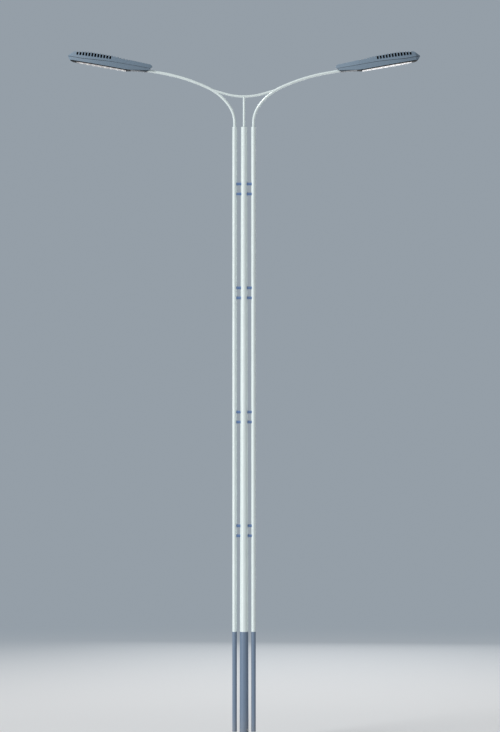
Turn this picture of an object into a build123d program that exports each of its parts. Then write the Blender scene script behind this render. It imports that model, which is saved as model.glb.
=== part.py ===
from build123d import *
from build123d.topology import SkipClean
from math import cos, radians, sin, tan
import os

# Double-arm street light in millimetres, +Z up. The origin is the centre of the
# base flange's lower face. The arms reach along -X (left) and +X (right).

# Base flange and gussets
flange_diameter = 420
flange_thickness = 20
flange_edge_chamfer = 2
anchor_circle_diameter = 320
anchor_hole_diameter = 26
anchor_count = 4
cable_hole_diameter = 80
gusset_count = 4
gusset_height = 108
gusset_reach = 100
gusset_thickness = 10
gusset_lip = 15

# Tapered centre pole
tube_top_height = 7995
pole_foot_diameter = 118
pole_top_diameter = 78
pole_wall = 4
cap_thickness = 5

# Service door at the back of the pole
door_centre_height = 640
door_opening_width = 58
door_opening_height = 260
door_overlap = 12
door_thickness = 3
door_corner_radius = 14

# Straight side pipes, which stop above the flange and its anchor nuts
pipe_diameter = 60
pipe_wall = 3.5
pipe_offset = 123
pipe_foot_height = 135

# Spacer tubes, in pairs that are listed downwards from the tops of the tubes
spacer_diameter = 38
spacer_wall = 3
spacer_pair_pitch = 130
spacer_drops = (806, 1350, 1614, 1478)

# Arms: three bends of growing radius, then a straight run into the lamp head
arm_diameter = 36
arm_wall = 3
arm_foot_run = 52
arm_bend_radii = (390, 715, 2380)
arm_bend_turns = (35, 30, 15)
arm_straight_run = 145
arm_insertion = 190

# Cross link and centre rod
link_diameter = 30
link_wall = 2.5
link_bend_radius = 900
link_slope = 16.1
link_joint_along_bend = 0.811
rod_diameter = 30
rod_wall = 2.5

# Lamp head, modelled level with its own axis along +X, the arm's mouth at the
# origin and +Z up, before it is tilted onto the arm. Stations are along X.
rear_tip_station = -16
rear_tip_height = 52
rear_top_station = 8
rear_top_height = 81
rear_rake = 50
driver_length = 255
transition_length = 67
lens_count = 8
lens_pitch = 78
nose_length = 149
nose_height = 6
brow_setback = 80
brow_height = 73
crown_from_lens_start = 358
crown_height = 106
break_from_lens_start = 45
break_height = 89
shoulder_radius = 6
break_blend_radius = 1500
cover_draft = 4

# Joint line between the cover and the housing
parting_rear_height = 33
parting_mid_from_lens_start = 218
parting_mid_height = 26
parting_front_from_lens_end = 46
parting_front_height = 2

# Housing's lower rim
rim_rear_height = 2
rim_knee_from_driver_end = 66
rim_knee_height = -23
rim_driver_end_height = -35
rim_height = -42
rim_nose_setback = 36
head_wall = 6
housing_draft = 6
hull_height = 110
hull_overlap = 10
seam_height = 6
seam_depth = 4

# Half widths of the head seen from above
tail_half_width = 62
tail_corner_radius = 20
widest_from_lens_start = 398
widest_half_width = 172
cheek_setback = 57
cheek_half_width = 128
nose_half_width = 52
nose_corner_radius = 20

# Ribs of the cover, two to each lens plate, over a dark heat sink
rib_width = 14
rib_thickness = 6
deep_slot_count = 12
shallow_slot_count = 6
front_slot_from_lens_end = 25
deep_slot_floor_front = 35
deep_slot_floor_rear = 52
shallow_slot_depth = 10
slot_corner_radius = 5
sink_width = 232
sink_gap = 1.5
sink_base_thickness = 8
sink_fin_thickness = 6
sink_fin_count = 9

# Lens tray, lens panel, lens plates and driver cover
tray_depth = 9
tray_wall = 4
tray_inset = 3
tray_nose_gap = 4
tray_nose_slope_length = 34
panel_thickness = 2
panel_inset = 41
panel_overrun = 26
lens_thickness = 2.5
lens_gap = 4
lens_border = 4
cover_knee_station = 133
cover_rear_height = -22
cover_knee_height = -25.5
cover_front_height = -38
cover_wall = 3
socket_start = 60
socket_half_width = 34
socket_end_wall = 10
arm_clearance = 0.5
arm_notch_clearance = 1.5

# Larger than any piece of the lamp head, for cuts that run right through it
through = 400

os.makedirs("parts", exist_ok=True)


def write(piece, label):
    """Label a finished piece and write it under that name."""
    piece.label = label
    export_step(piece, f"parts/{label}.step")


def pole_radius(height):
    """Outer radius of the tapered pole at a height above the ground."""
    share = (height - flange_thickness) / (tube_top_height - flange_thickness)
    return (pole_foot_diameter + (pole_top_diameter - pole_foot_diameter) * share) / 2


def pole_ring(low, high, inside, outside):
    """Ring around the pole's axis that keeps to its taper, between two radial offsets."""
    with BuildPart() as ring:
        with BuildSketch(Plane.XZ):
            with BuildLine():
                Polyline(
                    (max(pole_radius(low) + inside, 0), low),
                    (pole_radius(low) + outside, low),
                    (pole_radius(high) + outside, high),
                    (max(pole_radius(high) + inside, 0), high),
                    close=True,
                )
            make_face()
        revolve(axis=Axis.Z)
    return ring.part


# Base flange with its anchor holes between the gussets
with BuildPart() as base_flange:
    with BuildSketch():
        Circle(flange_diameter / 2)
        Circle(cable_hole_diameter / 2, mode=Mode.SUBTRACT)
        with PolarLocations(anchor_circle_diameter / 2, anchor_count):
            Circle(anchor_hole_diameter / 2, mode=Mode.SUBTRACT)
    extrude(amount=flange_thickness)
    top_rim = base_flange.faces().sort_by(Axis.Z)[-1].outer_wire().edges()
    chamfer(top_rim, length=flange_edge_chamfer)
write(base_flange.part, "base_flange")

pole_body_top = tube_top_height - cap_thickness
gusset_top = flange_thickness + gusset_height
gusset_foot = pole_radius(flange_thickness) + gusset_reach

# Triangular gussets, midway between the anchor holes
with BuildPart() as base_gussets:
    for index in range(gusset_count):
        turn = (index + 0.5) * 360 / gusset_count
        with BuildSketch(Plane.XZ.rotated((0, 0, turn))):
            with BuildLine():
                Polyline(
                    (0, flange_thickness),
                    (gusset_foot, flange_thickness),
                    (gusset_foot, flange_thickness + gusset_lip),
                    (pole_radius(gusset_top) + gusset_lip, gusset_top),
                    (0, gusset_top),
                    close=True,
                )
            make_face()
        extrude(amount=gusset_thickness / 2, both=True)
    add(pole_ring(flange_thickness, gusset_top, -pole_foot_diameter, 0), mode=Mode.SUBTRACT)
write(base_gussets.part, "base_gussets")

# Tapered pole with the service opening cut through its back. Its skin keeps its borders
# level with the opening's ends, so that the faces beside and above the opening stay round.
door_plane = Plane(origin=(0, 0, door_centre_height), x_dir=(1, 0, 0), z_dir=(0, 1, 0))
opening_foot = door_centre_height - door_opening_height / 2
opening_head = door_centre_height + door_opening_height / 2
with SkipClean(), BuildPart() as centre_pole:
    add(pole_ring(flange_thickness, opening_foot, -pole_wall, 0))
    add(pole_ring(opening_foot, opening_head, -pole_wall, 0))
    add(pole_ring(opening_head, pole_body_top, -pole_wall, 0))
    with BuildSketch(door_plane):
        Rectangle(door_opening_width, door_opening_height)
    extrude(amount=pole_foot_diameter, mode=Mode.SUBTRACT)
write(centre_pole.part, "centre_pole")

door_width = door_opening_width + 2 * door_overlap
door_height = door_opening_height + 2 * door_overlap
with BuildPart() as service_door:
    add(
        pole_ring(
            door_centre_height - door_height,
            door_centre_height + door_height,
            0,
            door_thickness,
        )
    )
    with BuildSketch(door_plane):
        RectangleRounded(door_width, door_height, door_corner_radius)
    extrude(amount=pole_foot_diameter, mode=Mode.INTERSECT)
write(service_door.part, "service_door")

with BuildPart() as centre_pole_cap:
    add(pole_ring(pole_body_top, tube_top_height, -pole_foot_diameter, 0))
write(centre_pole_cap.part, "centre_pole_cap")


def side_pipe(side, name):
    """Side pipe with a flat cap welded in flush at each end."""
    axis_x = side * pipe_offset
    body_foot = pipe_foot_height + cap_thickness
    with BuildPart() as pipe:
        with BuildSketch(Plane.XY.offset(body_foot)):
            with Locations((axis_x, 0)):
                Circle(pipe_diameter / 2)
                Circle(pipe_diameter / 2 - pipe_wall, mode=Mode.SUBTRACT)
        extrude(amount=pole_body_top - body_foot)
    write(pipe.part, f"{name}_pipe")
    for cap_name, cap_height in (("cap", pole_body_top), ("foot_cap", pipe_foot_height)):
        with BuildPart() as cap:
            with BuildSketch(Plane.XY.offset(cap_height)):
                with Locations((axis_x, 0)):
                    Circle(pipe_diameter / 2)
            extrude(amount=cap_thickness)
        write(cap.part, f"{name}_pipe_{cap_name}")


def spacer(side, height, name):
    """Spacer tube along X, coped to the tapered pole and to the side pipe."""
    low = height - spacer_diameter
    high = height + spacer_diameter
    with BuildPart() as stub:
        with BuildSketch(Plane(origin=(0, 0, height), z_dir=(side, 0, 0))):
            Circle(spacer_diameter / 2)
            Circle(spacer_diameter / 2 - spacer_wall, mode=Mode.SUBTRACT)
        extrude(amount=pipe_offset)
        add(pole_ring(low, high, -pole_foot_diameter, 0), mode=Mode.SUBTRACT)
        with Locations((side * pipe_offset, 0, height)):
            Cylinder(pipe_diameter / 2, 2 * spacer_diameter, mode=Mode.SUBTRACT)
    write(stub.part, name)


def arm_route(side):
    """Centre line of one arm in the XZ plane, and the plane of its lamp head."""
    with BuildLine(Plane.XZ) as route:
        run = Line(
            (side * pipe_offset, tube_top_height),
            (side * pipe_offset, tube_top_height + arm_foot_run),
        )
        bends = []
        for radius, turn in zip(arm_bend_radii, arm_bend_turns):
            run = JernArc(start=run @ 1, tangent=run % 1, radius=radius, arc_size=-side * turn)
            bends.append(run)
        Line(run @ 1, run @ 1 + (run % 1) * (arm_straight_run + arm_insertion))
    joint = bends[1] @ link_joint_along_bend
    mouth = run @ 1 + (run % 1) * arm_straight_run
    head_tilt = 90 - sum(arm_bend_turns)
    seat = Plane(
        origin=mouth,
        x_dir=(side * cos(radians(head_tilt)), 0, sin(radians(head_tilt))),
        z_dir=(-side * sin(radians(head_tilt)), 0, cos(radians(head_tilt))),
    )
    return route.line, joint, seat


def swept_tube(route, diameter, wall):
    """Round tube along a route that starts at its first point, solid if the wall is 0."""
    with BuildPart() as tube:
        with BuildSketch(Plane(origin=route @ 0, z_dir=route % 0)):
            Circle(diameter / 2)
            if wall:
                Circle(diameter / 2 - wall, mode=Mode.SUBTRACT)
        sweep(path=route)
    return tube.part


side_pipe(-1, "left")
side_pipe(1, "right")

height = tube_top_height
for level, drop in enumerate(spacer_drops):
    height -= drop
    level_name = len(spacer_drops) - level
    for side, side_name in ((-1, "left"), (1, "right")):
        spacer(side, height + spacer_pair_pitch / 2, f"{side_name}_spacer_{level_name}_upper")
        spacer(side, height - spacer_pair_pitch / 2, f"{side_name}_spacer_{level_name}_lower")

left_route, left_joint, left_seat = arm_route(-1)
right_route, right_joint, right_seat = arm_route(1)
write(swept_tube(left_route, arm_diameter, arm_wall), "left_arm")
write(swept_tube(right_route, arm_diameter, arm_wall), "right_arm")

# Cross link from joint to joint, as two straight runs and a wide bend between
bend_half_width = link_bend_radius * sin(radians(link_slope))
slope_drop = (right_joint.X - bend_half_width) * tan(radians(link_slope))
with BuildLine(Plane.XZ) as link_route:
    fall = Line(
        (left_joint.X, left_joint.Z),
        (-bend_half_width, left_joint.Z - slope_drop),
    )
    trough = JernArc(
        start=fall @ 1, tangent=fall % 1, radius=link_bend_radius, arc_size=2 * link_slope
    )
    Line(trough @ 1, (right_joint.X, right_joint.Z))

with BuildPart() as cross_link:
    add(swept_tube(link_route.line, link_diameter, link_wall))
    add(swept_tube(left_route, arm_diameter, 0), mode=Mode.SUBTRACT)
    add(swept_tube(right_route, arm_diameter, 0), mode=Mode.SUBTRACT)
write(cross_link.part, "cross_link")

link_low_height = (trough @ 0.5).Z
with BuildPart() as centre_rod:
    with BuildSketch(Plane.XY.offset(tube_top_height)):
        Circle(rod_diameter / 2)
        Circle(rod_diameter / 2 - rod_wall, mode=Mode.SUBTRACT)
    extrude(amount=link_low_height - tube_top_height)
    add(swept_tube(link_route.line, link_diameter, 0), mode=Mode.SUBTRACT)
write(centre_rod.part, "centre_rod")

# Stations along the lamp head
lens_start = driver_length + transition_length
lens_end = lens_start + lens_count * lens_pitch
head_end = lens_end + nose_length
rib_pitch = lens_pitch / 2
slot_width = rib_pitch - rib_width
front_slot = lens_end + front_slot_from_lens_end
slot_count = deep_slot_count + shallow_slot_count
sink_start = front_slot - (slot_count - 0.5) * rib_pitch
sink_end = front_slot + rib_pitch / 2


def rake_point(point_height):
    """Point on the raked rear face of the head at a height."""
    run = (rear_tip_height - point_height) / tan(radians(rear_rake))
    return (rear_tip_station + run, point_height)


parting_line = [
    rake_point(parting_rear_height),
    (lens_start + parting_mid_from_lens_start, parting_mid_height),
    (lens_end - parting_front_from_lens_end, parting_front_height),
    (head_end, nose_height),
]
rim_knee = (driver_length - rim_knee_from_driver_end, rim_knee_height)
rim_driver_end = (driver_length, rim_driver_end_height)
rim_lens_start = (lens_start, rim_height)
rim_nose = (head_end - rim_nose_setback, rim_height)


def plan_outline(inset):
    """Head's outline seen from above, moved inwards by an inset."""
    with BuildSketch() as outline:
        with BuildLine():
            widest = (lens_start + widest_from_lens_start, widest_half_width)
            tail = (rear_tip_station, tail_half_width)
            Line((rear_tip_station, 0), tail)
            TangentArc(widest, tail, tangent=(-1, 0))
            cheek = (head_end - cheek_setback, cheek_half_width)
            TangentArc(widest, cheek, tangent=(1, 0))
            Polyline(cheek, (head_end, nose_half_width), (head_end, 0))
            mirror(about=Plane.XZ)
        make_face()
        corners = outline.vertices().filter_by(lambda v: abs(v.Y) > 1)
        fillet(corners.filter_by(lambda v: v.X < 0), radius=tail_corner_radius)
        corners = outline.vertices().filter_by(lambda v: v.X > widest[0] + 1)
        fillet(corners.filter_by(lambda v: abs(v.Y) > 1), radius=nose_corner_radius)
        if inset:
            offset(amount=-inset)
    return outline.sketch


def plan_block(inset):
    """Head's outline, moved inwards by an inset, as a tall block with upright sides."""
    with BuildPart() as block:
        with BuildSketch():
            add(plan_outline(inset))
        extrude(amount=through, both=True)
    return block.part


def plan_hull(inset, start, rise, draft):
    """Head's outline, moved inwards by an inset, as a block that narrows from its start."""
    with BuildPart() as hull:
        with BuildSketch(Plane.XY.offset(start)):
            add(plan_outline(inset))
        with BuildSketch(Plane.XY.offset(start + rise)):
            add(plan_outline(inset + abs(rise) * tan(radians(draft))))
        loft(ruled=True)
    return hull.part


def housing_hull(inset):
    """Block that narrows downwards from above the joint line."""
    return plan_hull(inset, parting_rear_height + hull_overlap, -hull_height, housing_draft)


def profile_block(*points):
    """Closed side profile carried right across the head."""
    with BuildPart() as block:
        with BuildSketch(Plane.XZ):
            with BuildLine():
                Polyline(*points, close=True)
            make_face()
        extrude(amount=through, both=True)
    return block.part


def span_block(start, end, width):
    """Block between two stations, of a width across the head and right through its height."""
    with BuildPart() as block:
        with Locations(((start + end) / 2, 0, 0)):
            Box(end - start, width, through)
    return block.part


# Outer shape of the cover, with rounded shoulders
top_break = (lens_start + break_from_lens_start, break_height)
brow = (head_end - brow_setback, brow_height)
with BuildPart() as cover_shape:
    with BuildSketch(Plane.XZ) as cover_profile:
        with BuildLine():
            Polyline(
                parting_line[0],
                (rear_tip_station, rear_tip_height),
                (rear_top_station, rear_top_height),
                top_break,
            )
            ThreePointArc(
                top_break, (lens_start + crown_from_lens_start, crown_height), brow
            )
            Polyline(brow, *reversed(parting_line))
        make_face()
        break_corner = cover_profile.vertices().filter_by(lambda v: abs(v.X - top_break[0]) < 1)
        fillet(break_corner, radius=break_blend_radius)
    extrude(amount=through, both=True)
    add(
        plan_hull(0, parting_front_height - hull_overlap, hull_height, cover_draft),
        mode=Mode.INTERSECT,
    )
    top_faces = cover_shape.faces().filter_by(lambda f: f.normal_at().Z > 0.9)
    shoulders = top_faces.edges().filter_by(lambda e: abs(e.center().Y) > 1)
    fillet(shoulders, radius=shoulder_radius)

# Housing: outer shell under the parting line, open below, with the arm's socket inside
with BuildPart() as housing_shape:
    add(
        profile_block(
            *parting_line,
            rim_nose,
            rim_lens_start,
            rim_driver_end,
            rim_knee,
            rake_point(rim_rear_height),
        )
    )
    add(housing_hull(0), mode=Mode.INTERSECT)

pocket_start = rake_point(rim_rear_height)[0] + head_wall
pocket_end = head_end - rim_nose_setback - head_wall
with BuildPart() as housing_pocket:
    add(housing_shape.part.moved(Location((0, 0, -head_wall))))
    add(span_block(pocket_start, pocket_end, through), mode=Mode.INTERSECT)
    add(housing_hull(head_wall), mode=Mode.INTERSECT)
    add(
        span_block(socket_start, arm_insertion + socket_end_wall, 2 * socket_half_width),
        mode=Mode.SUBTRACT,
    )

# Shadow gap right round the housing, just under the cover
seam_foot = [(station, height - seam_height) for station, height in parting_line]
with BuildPart() as seam:
    add(profile_block(*parting_line, *reversed(seam_foot)))
    add(housing_hull(seam_depth), mode=Mode.SUBTRACT)

with BuildPart() as housing:
    add(housing_shape.part)
    add(housing_pocket.part, mode=Mode.SUBTRACT)
    add(seam.part, mode=Mode.SUBTRACT)
    with BuildSketch(Plane.YZ.offset(arm_insertion)):
        Circle(arm_diameter / 2 + arm_clearance)
    extrude(amount=-through, mode=Mode.SUBTRACT)

# Room inside the cover over the driver, and room over the lenses for the heat sink
with BuildPart() as driver_room:
    add(cover_shape.part.moved(Location((0, 0, -head_wall))))
    add(span_block(pocket_start, driver_length, through), mode=Mode.INTERSECT)
    add(plan_block(2 * head_wall), mode=Mode.INTERSECT)

with BuildPart() as sink_room:
    add(cover_shape.part.moved(Location((0, 0, -rib_thickness))))
    add(span_block(sink_start, sink_end, sink_width), mode=Mode.INTERSECT)

# Shallow notches in the cover's skin, behind the deep slots
with BuildPart() as shallow_notches:
    for index in range(deep_slot_count, slot_count):
        with Locations((front_slot - index * rib_pitch, 0, 0)):
            Box(slot_width, through, through)
    add(cover_shape.part, mode=Mode.INTERSECT)
    add(cover_shape.part.moved(Location((0, 0, -shallow_slot_depth))), mode=Mode.SUBTRACT)

with BuildPart() as cover:
    add(cover_shape.part)
    add(driver_room.part, mode=Mode.SUBTRACT)
    add(sink_room.part, mode=Mode.SUBTRACT)
    add(shallow_notches.part, mode=Mode.SUBTRACT)
    with BuildSketch(Plane.XZ):
        for index in range(deep_slot_count):
            share = index / (deep_slot_count - 1)
            floor = deep_slot_floor_front + (deep_slot_floor_rear - deep_slot_floor_front) * share
            with Locations((front_slot - index * rib_pitch, floor + through / 2)):
                RectangleRounded(slot_width, through, slot_corner_radius)
    extrude(amount=through, both=True, mode=Mode.SUBTRACT)

# Dark heat sink with fins along the head, under the ribs
sink_body_width = sink_width - 2 * sink_gap
fin_pitch = (sink_body_width - sink_fin_thickness) / (sink_fin_count - 1)
with BuildPart() as heat_sink:
    add(cover_shape.part)
    add(cover_shape.part.moved(Location((0, 0, -rib_thickness - sink_gap))), mode=Mode.INTERSECT)
    add(span_block(sink_start + sink_gap, sink_end - sink_gap, sink_body_width), mode=Mode.INTERSECT)

with BuildPart() as sink_channels:
    with Locations(((sink_start + sink_end) / 2, 0, 0)):
        with GridLocations(1, fin_pitch, 1, sink_fin_count - 1):
            Box(through * 3, fin_pitch - sink_fin_thickness, through)
    add(cover_shape.part.moved(Location((0, 0, sink_base_thickness))), mode=Mode.INTERSECT)

with BuildPart() as finned_sink:
    add(heat_sink.part)
    add(sink_channels.part, mode=Mode.SUBTRACT)

# Dark tray under the rim, hollow above, that carries the lens plates
tray_floor = rim_height - tray_depth
tray_nose = head_end - rim_nose_setback - tray_nose_gap
tray_points = (
    rim_driver_end,
    rim_lens_start,
    (tray_nose, rim_height),
    (tray_nose - tray_nose_slope_length, tray_floor),
    (lens_start, tray_floor),
    (driver_length, cover_front_height),
)
with BuildPart() as tray_shape:
    add(profile_block(*tray_points))
    add(housing_hull(tray_inset), mode=Mode.INTERSECT)

with BuildPart() as tray_pocket:
    add(tray_shape.part.moved(Location((0, 0, tray_wall))))
    add(housing_hull(tray_inset + tray_wall), mode=Mode.INTERSECT)
    add(span_block(lens_start, tray_nose - tray_nose_slope_length, through), mode=Mode.INTERSECT)

with BuildPart() as lens_tray:
    add(tray_shape.part)
    add(tray_pocket.part, mode=Mode.SUBTRACT)


def lens_sheet(top, thickness, inset, overrun):
    """Flat sheet under the tray, with the head's own nose shape moved back to its end."""
    nose_shift = lens_end + overrun - (head_end - panel_inset)
    with BuildPart() as sheet:
        with BuildSketch(Plane.XY.offset(top)):
            add(plan_outline(inset))
            add(plan_outline(inset).moved(Location((nose_shift, 0, 0))), mode=Mode.INTERSECT)
            with Locations((lens_start + inset - panel_inset + through * 2, 0)):
                Rectangle(through * 4, through * 4, mode=Mode.INTERSECT)
        extrude(amount=-thickness)
    return sheet.part


# Pale panel under the tray, and the clear lens plates on it
with BuildPart() as lens_panel:
    add(lens_sheet(tray_floor, panel_thickness, panel_inset, panel_overrun))

lens_top = tray_floor - panel_thickness
with BuildPart() as lens_plates:
    add(lens_sheet(lens_top, lens_thickness, panel_inset + lens_border, panel_overrun))
    with Locations((lens_start + lens_count * lens_pitch / 2, 0, lens_top - lens_thickness / 2)):
        with GridLocations(lens_pitch, 1, lens_count, 1):
            Box(lens_pitch - lens_gap, through, lens_thickness, mode=Mode.INTERSECT)

# Dark driver cover below the rear of the housing, notched round the arm
cover_points = (
    rake_point(rim_rear_height),
    rim_knee,
    rim_driver_end,
    (driver_length, cover_front_height),
    (cover_knee_station, cover_knee_height),
    rake_point(cover_rear_height),
)
with BuildPart() as driver_cover_shape:
    add(profile_block(*cover_points))
    add(housing_hull(tray_inset), mode=Mode.INTERSECT)

cover_pocket_start = rake_point(cover_rear_height)[0] + cover_wall
with BuildPart() as driver_cover_pocket:
    add(driver_cover_shape.part.moved(Location((0, 0, cover_wall))))
    add(housing_hull(tray_inset + cover_wall), mode=Mode.INTERSECT)
    add(span_block(cover_pocket_start, driver_length - cover_wall, through), mode=Mode.INTERSECT)

with BuildPart() as driver_cover:
    add(driver_cover_shape.part)
    add(driver_cover_pocket.part, mode=Mode.SUBTRACT)
    with BuildSketch(Plane.YZ.offset(arm_insertion)):
        Circle(arm_diameter / 2 + arm_notch_clearance)
    extrude(amount=-through, mode=Mode.SUBTRACT)

head_pieces = {
    "housing": housing,
    "ribbed_cover": cover,
    "heat_sink": finned_sink,
    "lens_tray": lens_tray,
    "lens_panel": lens_panel,
    "lens_plates": lens_plates,
    "driver_cover": driver_cover,
}
for side_name, seat in (("left", left_seat), ("right", right_seat)):
    for piece_name, piece in head_pieces.items():
        with BuildPart() as placed:
            add(piece.part.moved(seat.location))
        write(placed.part, f"{side_name}_head_{piece_name}")
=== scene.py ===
"""Finishes of the double-arm street light, and its bolts, welds, screws and lenses."""

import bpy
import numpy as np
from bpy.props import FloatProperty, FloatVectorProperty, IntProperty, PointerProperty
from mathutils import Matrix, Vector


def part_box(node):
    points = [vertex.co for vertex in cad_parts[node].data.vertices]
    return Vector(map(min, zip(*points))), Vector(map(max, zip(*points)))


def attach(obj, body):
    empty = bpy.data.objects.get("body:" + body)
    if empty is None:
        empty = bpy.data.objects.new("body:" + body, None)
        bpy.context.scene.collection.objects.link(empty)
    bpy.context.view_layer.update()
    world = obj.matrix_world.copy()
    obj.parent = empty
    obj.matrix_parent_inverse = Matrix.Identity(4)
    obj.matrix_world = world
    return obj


bl_info = {
    "name": "Double-arm street light",
    "version": (1, 0, 0),
    "blender": (4, 5, 0),
    "location": "View3D > Sidebar > Street light",
    "description": "Paints a double-arm street light and adds its bolts, welds, screws and lenses",
    "category": "Object",
}

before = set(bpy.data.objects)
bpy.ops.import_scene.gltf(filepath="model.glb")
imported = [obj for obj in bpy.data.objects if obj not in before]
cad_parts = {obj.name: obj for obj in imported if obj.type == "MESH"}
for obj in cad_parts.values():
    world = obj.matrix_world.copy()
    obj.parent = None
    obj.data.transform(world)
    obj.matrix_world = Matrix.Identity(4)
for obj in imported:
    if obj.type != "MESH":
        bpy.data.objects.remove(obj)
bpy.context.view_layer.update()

SIDES = (-1, 1)
SIDE_NAMES = {-1: "left", 1: "right"}
FULL_TURN = 2 * np.pi
UP = (0.0, 0.0, 1.0)
DOWN = (0.0, 0.0, -1.0)
BACK = (0.0, 1.0, 0.0)


def node_box(node):
    """Lowest and highest corner of a node, as arrays in metres."""
    low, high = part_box(node)
    return np.array(low), np.array(high)


def half_size(node, axis):
    """Half of a node's size along one axis."""
    low, high = node_box(node)
    return (high[axis] - low[axis]) / 2


# Sizes and places that the frame gives
FLANGE_TOP = node_box("base_flange")[1][2]
GUSSET_TOP = node_box("base_gussets")[1][2]
TUBE_TOP = node_box("right_pipe_cap")[1][2]
PIPE_OFFSET = sum(corner[0] for corner in node_box("right_pipe")) / 2
PIPE_RADIUS = half_size("right_pipe", 0)
POLE_FOOT_RADIUS = half_size("centre_pole", 0)
POLE_TOP_RADIUS = half_size("centre_pole_cap", 0)
SPACER_RADIUS = half_size("right_spacer_1_upper", 1)
ARM_RADIUS = half_size("right_arm", 1)
LINK_RADIUS = half_size("cross_link", 1)
ROD_RADIUS = half_size("centre_rod", 1)
LINK_LOW_HEIGHT = node_box("cross_link")[0][2] + LINK_RADIUS
DOOR_LOW, DOOR_HIGH = node_box("service_door")
SPACER_HEIGHTS = [
    sum(corner[2] for corner in node_box(node)) / 2
    for node in sorted(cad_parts)
    if node.startswith("right_spacer")
]

# Values of the part's own source, in metres and degrees
GUSSET_COUNT = 4
GUSSET_REACH = 0.100
GUSSET_THICKNESS = 0.010
ARM_FOOT_RUN = 0.052
ARM_BENDS = ((0.390, 35), (0.715, 30), (2.380, 15))
ARM_STRAIGHT_RUN = 0.145
LINK_SLOPE = 16.1
LINK_BEND_RADIUS = 0.900
LINK_JOINT_ALONG_BEND = 0.811
LENS_START = 0.322
LENS_COUNT = 8
LENS_PITCH = 0.078
TRAY_FLOOR = -0.051
LENS_FACE = -0.0555
DRIVER_COVER_FLOOR = ((0.050, -0.022), (0.133, -0.0255), (0.255, -0.038))
WIDEST_STATION = 0.720
WIDEST_HALF_WIDTH = 0.172
REAR_FLANK_RADIUS = 2.4972
FRONT_FLANK_RADIUS = 1.1496


def arm_places():
    """Centre of the right arm's second bend, the link's joint on it, and the lamp head's mouth.

    A bend of radius r, from angle a to angle b off upright, has its centre at
    r (cos a, -sin a) from its start and moves r (cos a - cos b, sin b - sin a).
    """
    point = np.array([PIPE_OFFSET, TUBE_TOP + ARM_FOOT_RUN])
    angle = 0.0
    centres = []
    for radius, turn in ARM_BENDS:
        centre = point + radius * np.array([np.cos(angle), -np.sin(angle)])
        angle = angle + np.radians(turn)
        point = centre - radius * np.array([np.cos(angle), -np.sin(angle)])
        centres.append(centre)
    mouth = point + ARM_STRAIGHT_RUN * np.array([np.sin(angle), np.cos(angle)])
    joint_angle = np.radians(ARM_BENDS[0][1] + ARM_BENDS[1][1] * LINK_JOINT_ALONG_BEND)
    reach = ARM_BENDS[1][0] * np.array([np.cos(joint_angle), -np.sin(joint_angle)])
    return centres[1], centres[1] - reach, mouth, np.pi / 2 - angle


BEND_CENTRE, LINK_JOINT, HEAD_MOUTH, HEAD_TILT = arm_places()


def pole_radius(height):
    """Radius of the tapered pole at a height, from the flange to the cap."""
    share = (height - FLANGE_TOP) / (TUBE_TOP - FLANGE_TOP)
    return POLE_FOOT_RADIUS + (POLE_TOP_RADIUS - POLE_FOOT_RADIUS) * share


def head_half_width(station):
    """Half width of a lamp head at a station: two round flanks that meet where it is widest."""
    run = np.asarray(station) - WIDEST_STATION
    radius = np.where(run < 0, REAR_FLANK_RADIUS, FRONT_FLANK_RADIUS)
    return WIDEST_HALF_WIDTH - radius + np.sqrt(radius**2 - run**2)


def length(name, description, default):
    """Property that holds a length."""
    return FloatProperty(name=name, description=description, default=default, unit="LENGTH")


def paint(name, description, default):
    """Property that holds a colour."""
    return FloatVectorProperty(name=name, description=description, default=default, subtype="COLOR")


class StreetLightSizes(bpy.types.PropertyGroup):
    """Sizes of the finishes and the small hardware, in metres"""

    paint_line: length("Paint line", "Height of the top of the blue-grey band on the tubes", 1.434)
    anchor_circle: length("Anchor circle", "Diameter of the circle of the anchor studs", 0.32)
    anchor_count: IntProperty(
        name="Anchor studs",
        description="Number of anchor studs through the flange",
        default=4,
        min=2,
    )
    stud_diameter: length("Stud diameter", "Thread diameter of the anchor studs", 0.024)
    stud_top: length("Stud top", "Height of the top of the anchor studs", 0.058)
    nut_width: length("Nut width", "Width across the flats of the anchor nuts", 0.036)
    nut_height: length("Nut height", "Height of the anchor nuts", 0.0215)
    washer_diameter: length("Washer diameter", "Outer diameter of the anchor washers", 0.044)
    washer_thickness: length("Washer thickness", "Thickness of the anchor washers", 0.004)
    earth_bolt_height: length("Earth bolt height", "Height of the earth bolt on the pole", 0.162)
    earth_bolt_turn: FloatProperty(
        name="Earth bolt turn",
        description="Angle of the earth bolt round the pole, from the right",
        default=np.radians(-46),
        unit="ROTATION",
    )
    earth_washer_diameter: length(
        "Earth washer diameter", "Outer diameter of the earth bolt's washer", 0.026
    )
    earth_bolt_width: length(
        "Earth bolt width", "Width across the flats of the earth bolt's head", 0.019
    )
    weld_radius: length(
        "Weld radius", "Radius of the weld beads at the arms, the link and the rod", 0.0025
    )
    spacer_weld_radius: length(
        "Spacer weld radius", "Radius of the weld beads at the ends of the spacers", 0.004
    )
    foot_weld_radius: length(
        "Foot weld radius", "Radius of the weld beads on the flange and its gussets", 0.004
    )
    lens_diameter: length("Lens diameter", "Diameter of one small lens of the lamp heads", 0.014)
    lens_rows: IntProperty(
        name="Lens rows",
        description="Rows of small lenses on each lens plate",
        default=2,
        min=1,
    )
    lens_columns: IntProperty(
        name="Lenses in a row",
        description="Small lenses across the head in each row",
        default=12,
        min=1,
    )
    screw_diameter: length(
        "Screw head diameter", "Diameter of the screw heads of the door and the lamp heads", 0.009
    )


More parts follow.
